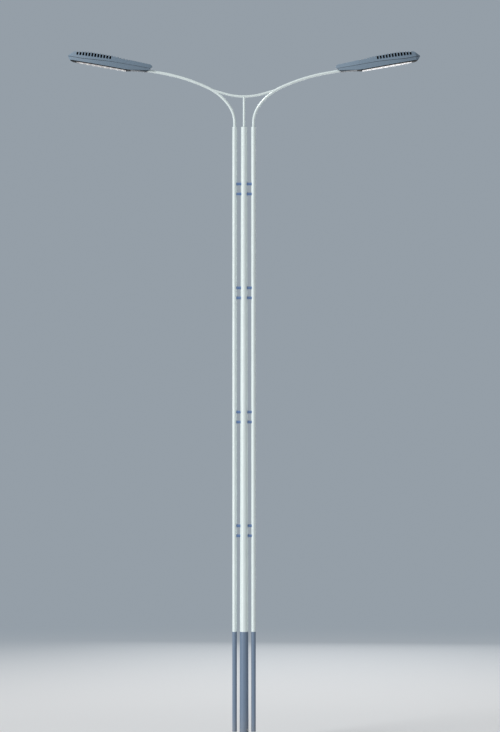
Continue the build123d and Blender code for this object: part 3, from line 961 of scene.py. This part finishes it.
def earth_bolt():
    """Boss on the pole's skin, and the bolt with its washer that is screwed into it."""
    size = sizes()
    outward = round_points(1, size.earth_bolt_turn, 0)
    skin = pole_radius(size.earth_bolt_height) * outward + size.earth_bolt_height * np.array(UP)
    r = size.earth_washer_diameter / 2
    boss_height = 0.4 * r
    washer_thickness = 0.2 * r
    boss_profile = [(0.9 * r, -0.3 * r), (0.9 * r, 0.9 * boss_height), (0.8 * r, boss_height)]
    washer = flat_ring(0.45 * r, r, washer_thickness)
    head = hex_nut(size.earth_bolt_width, 0.42 * size.earth_bolt_width)
    bolt = [
        repeated(shape, [skin + rise * outward], outward)
        for shape, rise in ((washer, boss_height), (head, boss_height + washer_thickness))
    ]
    return repeated(lathe(boss_profile, columns=32), [skin], outward), joined(bolt)


class STREETLIGHT_OT_add_anchors(bpy.types.Operator):
    """Add the anchor studs with their washers and nuts, and the pole's earth bolt"""

    bl_idname = "street_light.add_anchors"
    bl_label = "Add the anchors"

    def execute(self, context):
        size = sizes()
        stud = threaded_stud(size.stud_diameter, STUD_FOOT, size.stud_top, THREAD_PITCH)
        washer = flat_ring(size.stud_diameter / 2, size.washer_diameter / 2, size.washer_thickness)
        nut = hex_nut(size.nut_width, size.nut_height)
        nut_foot = FLANGE_TOP + size.washer_thickness
        pieces = (("studs", stud, 0.0), ("washers", washer, FLANGE_TOP), ("nuts", nut, nut_foot))
        for name, shape, foot in pieces:
            anchors = repeated(shape, anchor_places(foot), UP)
            make_piece(f"anchor_{name}", anchors, "zinc_steel")
        boss, bolt = earth_bolt()
        make_piece("earth_boss", boss, "foot_paint")
        make_piece("earth_bolt", bolt, "zinc_steel")
        return {"FINISHED"}


# Points along the weld beads, and the reach and the steps of the search for the link's end
POLE_WELD_STEPS = 320
GUSSET_FLOOR_WELD_STEPS = 81
GUSSET_POLE_WELD_STEPS = 113
SPACER_WELD_STEPS = 96
ARM_WELD_STEPS = 112
LINK_WELD_STEPS = 128
ROD_WELD_STEPS = 96
LINK_SEARCH_REACH = 0.3
LINK_SEARCH_STEPS = 1501


def round_weld(x, height, tube_radius, bead_radius, steps):
    """Bead round an upright tube where it stands on a flat face."""
    radial = round_points(1, turns(steps), 0)
    return weld_bead(np.array([x, 0, height]) + tube_radius * radial, radial, bead_radius)


def gusset_welds(bead_radius):
    """Straight beads along both faces of each gusset, on the flange and up the pole.

    On the pole a bead keeps to its skin: it stands sqrt(R(h)^2 - t^2) out, t aside.
    """
    aside = GUSSET_THICKNESS / 2
    out = np.linspace(POLE_FOOT_RADIUS, POLE_FOOT_RADIUS + GUSSET_REACH, GUSSET_FLOOR_WELD_STEPS)
    up = np.linspace(FLANGE_TOP, GUSSET_TOP, GUSSET_POLE_WELD_STEPS)
    skin = np.sqrt(pole_radius(up) ** 2 - aside**2)
    welds = []
    for turn in turns(GUSSET_COUNT) + FULL_TURN / GUSSET_COUNT / 2:
        radial = round_points(1, turn, 0)
        across = round_points(1, turn + FULL_TURN / 4, 0)
        for side in SIDES:
            floor_line = out[:, None] * radial + side * aside * across + FLANGE_TOP * np.array(UP)
            pole_line = skin[:, None] * radial + side * aside * across + up[:, None] * np.array(UP)
            for line in (floor_line, pole_line):
                welds.append(weld_bead(line, across + 0 * line, bead_radius, closed=False))
    return joined(welds)


def spacer_welds(bead_radius):
    """Saddle-shaped beads at both ends of every spacer.

    At an angle a round a spacer y = r cos a and z = h + r sin a; x is D - sqrt(P^2 - y^2)
    on the side pipe, of radius P at a distance D, and sqrt(R(z)^2 - y^2) on the pole.
    """
    turn = turns(SPACER_WELD_STEPS)
    radial = np.stack([0 * turn, np.cos(turn), np.sin(turn)], axis=1)
    across = SPACER_RADIUS * np.cos(turn)
    on_pipe = PIPE_OFFSET - np.sqrt(PIPE_RADIUS**2 - across**2)
    welds = []
    for middle in SPACER_HEIGHTS:
        height = middle + SPACER_RADIUS * np.sin(turn)
        on_pole = np.sqrt(pole_radius(height) ** 2 - across**2)
        for side in SIDES:
            for reach in (on_pipe, on_pole):
                path = np.stack([side * reach, across, height], axis=1)
                welds.append(weld_bead(path, radial, bead_radius))
    return joined(welds)


def link_skin(turn, run):
    """Distances out, across and up of the link's skin, a run back from its joint with the arm.

    The skin is j - s (cos m, sin m) + r sin a (-sin m, cos m), and r cos a across, m being
    the link's slope.
    """
    slope = np.radians(LINK_SLOPE)
    lift = LINK_RADIUS * np.sin(turn)
    out = LINK_JOINT[0] - run * np.cos(slope) - lift * np.sin(slope)
    up = LINK_JOINT[1] - run * np.sin(slope) + lift * np.cos(slope)
    return out, LINK_RADIUS * np.cos(turn), up


def link_end_weld(side, bead_radius):
    """Bead where the cross link runs into an arm.

    Each line of the link's skin is followed from far inside the span to where
    sqrt((|p - c| - B)^2 + y^2) falls to the arm's radius, c and B being its bend's middle
    and radius.
    """
    turn = turns(LINK_WELD_STEPS)
    run = np.linspace(0, LINK_SEARCH_REACH, LINK_SEARCH_STEPS)
    out, across, up = link_skin(turn[:, None], run)
    to_middle = np.hypot(out - BEND_CENTRE[0], up - BEND_CENTRE[1])
    gap = np.hypot(to_middle - ARM_BENDS[1][0], across) - ARM_RADIUS
    last_inside = len(run) - 1 - np.argmax(gap[:, ::-1] < 0, axis=1)
    line = np.arange(len(turn))
    inside, outside = gap[line, last_inside], gap[line, last_inside + 1]
    share = inside / (inside - outside)
    out, across, up = link_skin(turn, run[last_inside] + share * run[1])
    slope = np.radians(LINK_SLOPE)
    lift = np.sin(turn)
    radial = np.stack([-side * np.sin(slope) * lift, np.cos(turn), np.cos(slope) * lift], axis=1)
    return weld_bead(np.stack([side * out, across, up], axis=1), radial, bead_radius)


def rod_top_weld(bead_radius):
    """Bead where the rod meets the link's bend: z = c(x) - sqrt(L^2 - y^2) round the rod."""
    radial = round_points(1, turns(ROD_WELD_STEPS), 0)
    x, y = ROD_RADIUS * radial[:, 0], ROD_RADIUS * radial[:, 1]
    centre_line = LINK_LOW_HEIGHT + LINK_BEND_RADIUS - np.sqrt(LINK_BEND_RADIUS**2 - x**2)
    z = centre_line - np.sqrt(np.maximum(LINK_RADIUS**2 - y**2, 0))
    return weld_bead(np.stack([x, y, z], axis=1), radial, bead_radius)


class STREETLIGHT_OT_add_welds(bpy.types.Operator):
    """Add the weld beads at the foot, the spacers, the arms, the link and the rod"""

    bl_idname = "street_light.add_welds"
    bl_label = "Add the weld beads"

    def execute(self, context):
        foot_radius, radius = sizes().foot_weld_radius, sizes().weld_radius
        pole_foot = round_weld(0, FLANGE_TOP, POLE_FOOT_RADIUS, foot_radius, POLE_WELD_STEPS)
        foot = joined([pole_foot, gusset_welds(foot_radius)])
        make_piece("foot_welds", foot, "foot_paint")
        spacer_beads = spacer_welds(sizes().spacer_weld_radius)
        make_piece("spacer_welds", spacer_beads, "blue_spacer_paint")
        top = [round_weld(0, TUBE_TOP, ROD_RADIUS, radius, ROD_WELD_STEPS), rod_top_weld(radius)]
        for side in SIDES:
            top.append(round_weld(side * PIPE_OFFSET, TUBE_TOP, ARM_RADIUS, radius, ARM_WELD_STEPS))
            top.append(link_end_weld(side, radius))
        make_piece("arm_welds", joined(top), "tube_paint")
        return {"FINISHED"}


DOOR_SCREW_INSET = 0.006
TRAY_SCREW_STATIONS = 5
TRAY_SCREW_SPAN = (0.03, 0.97)
COVER_SCREW_STATIONS = (0.062, 0.225)
HEAD_SCREW_EDGE = 0.024


class STREETLIGHT_OT_add_screws(bpy.types.Operator):
    """Add the screws of the service door, the lens trays and the driver covers"""

    bl_idname = "street_light.add_screws"
    bl_label = "Add the screws"

    def execute(self, context):
        head = screw_head(sizes().screw_diameter)
        door_places = [
            (0, DOOR_HIGH[1], DOOR_HIGH[2] - DOOR_SCREW_INSET),
            (0, DOOR_HIGH[1], DOOR_LOW[2] + DOOR_SCREW_INSET),
        ]
        make_piece("door_screws", repeated(head, door_places, BACK), "screw_steel")
        lens_run = LENS_COUNT * LENS_PITCH
        tray_stations = LENS_START + lens_run * np.linspace(*TRAY_SCREW_SPAN, TRAY_SCREW_STATIONS)
        cover_stations = np.array(COVER_SCREW_STATIONS)
        cover_floor = np.interp(cover_stations, *np.array(DRIVER_COVER_FLOOR).T)
        places = []
        for stations, floor in ((tray_stations, TRAY_FLOOR), (cover_stations, cover_floor)):
            edge = head_half_width(stations) - HEAD_SCREW_EDGE
            places += [np.stack([stations, side * edge, 0 * edge + floor], axis=1) for side in SIDES]
        screws = repeated(head, np.concatenate(places), DOWN)
        both = joined([on_head(side, screws) for side in SIDES])
        make_piece("head_screws", both, "screw_steel")
        return {"FINISHED"}


LENS_ROW_PITCH = 0.017
LENS_PLATE_INSET = 0.045
LENS_EDGE_GAP = 0.012
PLATE_NOSE_SHIFT = 0.082


def plate_half_width(station):
    """Half width of the lens plates: the head's outline drawn in, and its nose moved back."""
    nose = head_half_width(np.asarray(station) + PLATE_NOSE_SHIFT)
    return np.minimum(head_half_width(station), nose) - LENS_PLATE_INSET


class STREETLIGHT_OT_add_lenses(bpy.types.Operator):
    """Add the small lenses under the lamp heads"""

    bl_idname = "street_light.add_lenses"
    bl_label = "Add the lenses"

    def execute(self, context):
        size = sizes()
        plate = LENS_START + LENS_PITCH * (np.arange(LENS_COUNT) + 0.5)
        row = LENS_ROW_PITCH * (np.arange(size.lens_rows) - (size.lens_rows - 1) / 2)
        share = np.linspace(-1, 1, size.lens_columns)
        plate, row, share = np.meshgrid(plate, row, share, indexing="ij")
        station = plate + row
        across = share * (plate_half_width(station) - LENS_EDGE_GAP)
        places = np.stack([station, across, 0 * across + LENS_FACE], axis=-1).reshape(-1, 3)
        dome = small_lens(size.lens_diameter)
        lenses = repeated(dome, places, DOWN)
        rise = np.tile(dome[0][:, 2] / dome[0][:, 2].max(), len(places))
        for side in SIDES:
            name = f"{SIDE_NAMES[side]}_lenses"
            piece = make_piece(name, on_head(side, lenses), "lens_dome_plastic")
            piece.data.attributes.new("rise", "FLOAT", "POINT").data.foreach_set("value", rise)
        return {"FINISHED"}


PHOTO_HEIGHT = 732
MILLIMETRES_PER_PIXEL = 13.0
CAMERA_DISTANCE = 48.0
CAMERA_OFFSET = 0.0774
CAMERA_HEIGHT = 4.888
CAMERA_REACH = 1000.0
FLOOR_COLOUR = (0.83, 0.84, 0.85, 1.0)
FLOOR_RADIUS = 400.0
FLOOR_CORNERS = 96
FLOOR_FADE_START = 5.0
FLOOR_FADE_END = 22.0
FILL_COLOUR = (0.95, 0.98, 1.0, 1.0)
FILL_STRENGTH = 0.25
KEY_LIGHT_PLACE = (-0.85, -0.58, 0.92)
KEY_LIGHT_POWER = 2.02
KEY_LIGHT_SPREAD = np.radians(30)
SOFTBOX_WIDTH = 8.0
SOFTBOX_HEIGHT = 12.0
SOFTBOX_PLACE = (-10.8, -10.4, 0.0)
SOFTBOX_POWER = 460.0
BACK_SOFTBOX_PLACE = (1.5, 16.5, 2.0)
BACK_SOFTBOX_POWER = 500.0


def add_light(name, kind, place, **settings):
    """Light at a place that shines at the middle of the object and isn't seen itself."""
    light = bpy.data.lights.new(name, kind)
    for label, value in settings.items():
        setattr(light, label, value)
    lamp = bpy.data.objects.new(name, light)
    lamp.location = Vector(place) + Vector((0, 0, CAMERA_HEIGHT))
    lamp.rotation_euler = Vector(place).to_track_quat("Z", "Y").to_euler()
    lamp.visible_camera = False
    bpy.context.scene.collection.objects.link(lamp)


def seen_directly(tree):
    """Value of 1 for camera, glossy and transmission rays, and 0 for the rays that light the object."""
    path = add_node(tree, "ShaderNodeLightPath").outputs
    seen = calculate(tree, "MAXIMUM", path["Is Camera Ray"], path["Is Glossy Ray"])
    return calculate(tree, "MAXIMUM", seen, path["Is Transmission Ray"])


def set_world(scene):
    """Plain pale world: the backdrop's colour where it is seen, and a soft fill where it lights."""
    scene.world = bpy.data.worlds.new("studio")
    tree = empty_tree(scene.world)
    fill = {"Color": FILL_COLOUR, "Strength": FILL_STRENGTH}
    seen = {"Color": opaque(colours().backdrop), "Strength": 1.0}
    shaders = [add_node(tree, "ShaderNodeBackground", inputs).outputs[0] for inputs in (fill, seen)]
    mix = add_node(tree, "ShaderNodeMixShader", {0: seen_directly(tree), 1: shaders[0], 2: shaders[1]})
    add_node(tree, "ShaderNodeOutputWorld", {"Surface": mix.outputs[0]})


def floor_material():
    """Pale floor that fades into the backdrop's colour away from the object."""
    material = bpy.data.materials.new("pale_floor")
    tree = empty_tree(material)
    shader = add_node(
        tree, "ShaderNodeBsdfPrincipled", {"Base Color": FLOOR_COLOUR, "Roughness": 0.9}
    )
    glow = add_node(
        tree, "ShaderNodeEmission", {"Color": opaque(colours().backdrop), "Strength": 1.0}
    )
    distance = add_node(tree, "ShaderNodeVectorMath", {0: object_place(tree)}, operation="LENGTH")
    fade = eased(tree, distance.outputs["Value"], FLOOR_FADE_START, FLOOR_FADE_END)
    share = calculate(tree, "MULTIPLY", fade, seen_directly(tree))
    mix = add_node(tree, "ShaderNodeMixShader", {0: share, 1: shader.outputs[0], 2: glow.outputs[0]})
    add_node(tree, "ShaderNodeOutputMaterial", {"Surface": mix.outputs[0]})
    return material


class STREETLIGHT_OT_set_stage(bpy.types.Operator):
    """Set the floor, the light and the camera"""

    bl_idname = "street_light.set_stage"
    bl_label = "Set the stage"

    def execute(self, context):
        scene = context.scene
        scene.view_settings.view_transform = "Standard"
        rim = round_points(FLOOR_RADIUS, turns(FLOOR_CORNERS), 0)
        mesh = bpy.data.meshes.new("floor")
        mesh.from_pydata(rim.tolist(), [], [list(range(FLOOR_CORNERS))])
        mesh.materials.append(floor_material())
        floor = bpy.data.objects.new("floor", mesh)
        scene.collection.objects.link(floor)
        set_world(scene)
        add_light("key_light", "SUN", KEY_LIGHT_PLACE, energy=KEY_LIGHT_POWER, angle=KEY_LIGHT_SPREAD)
        softbox = {"shape": "RECTANGLE", "size": SOFTBOX_WIDTH, "size_y": SOFTBOX_HEIGHT}
        add_light("side_softbox", "AREA", SOFTBOX_PLACE, energy=SOFTBOX_POWER, **softbox)
        add_light("back_softbox", "AREA", BACK_SOFTBOX_PLACE, energy=BACK_SOFTBOX_POWER, **softbox)
        camera_data = bpy.data.cameras.new("camera")
        field = PHOTO_HEIGHT * MILLIMETRES_PER_PIXEL / 1000
        camera_data.lens = camera_data.sensor_width * CAMERA_DISTANCE / field
        camera_data.clip_end = CAMERA_REACH
        camera = bpy.data.objects.new("camera", camera_data)
        camera.location = (CAMERA_OFFSET, -CAMERA_DISTANCE, CAMERA_HEIGHT)
        camera.rotation_euler = (np.radians(90), 0, 0)
        scene.collection.objects.link(camera)
        scene.camera = camera
        return {"FINISHED"}


STEPS = (
    STREETLIGHT_OT_mix_finishes,
    STREETLIGHT_OT_paint_tubes,
    STREETLIGHT_OT_paint_heads,
    STREETLIGHT_OT_add_anchors,
    STREETLIGHT_OT_add_welds,
    STREETLIGHT_OT_add_screws,
    STREETLIGHT_OT_add_lenses,
    STREETLIGHT_OT_set_stage,
)


class STREETLIGHT_PT_sidebar(bpy.types.Panel):
    """Sizes, colours and steps of the street light"""

    bl_label = "Street light"
    bl_idname = "STREETLIGHT_PT_sidebar"
    bl_space_type = "VIEW_3D"
    bl_region_type = "UI"
    bl_category = "Street light"

    def draw(self, context):
        for group in (sizes(), colours()):
            for name in group.__annotations__:
                self.layout.prop(group, name)
        for step in STEPS:
            self.layout.operator(step.bl_idname)


CLASSES = (StreetLightSizes, StreetLightColours, *STEPS, STREETLIGHT_PT_sidebar)


def register():
    """Add the classes, and the sizes and colours that the scene holds."""
    for item in CLASSES:
        bpy.utils.register_class(item)
    bpy.types.Scene.street_light_sizes = PointerProperty(type=StreetLightSizes)
    bpy.types.Scene.street_light_colours = PointerProperty(type=StreetLightColours)


def unregister():
    """Take out what register added."""
    del bpy.types.Scene.street_light_colours
    del bpy.types.Scene.street_light_sizes
    for item in reversed(CLASSES):
        bpy.utils.unregister_class(item)


def main():
    """Register the add-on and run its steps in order."""
    register()
    bpy.ops.street_light.mix_finishes()
    bpy.ops.street_light.paint_tubes()
    bpy.ops.street_light.paint_heads()
    bpy.ops.street_light.add_anchors()
    bpy.ops.street_light.add_welds()
    bpy.ops.street_light.add_screws()
    bpy.ops.street_light.add_lenses()
    bpy.ops.street_light.set_stage()


if __name__ == "__main__":
    main()
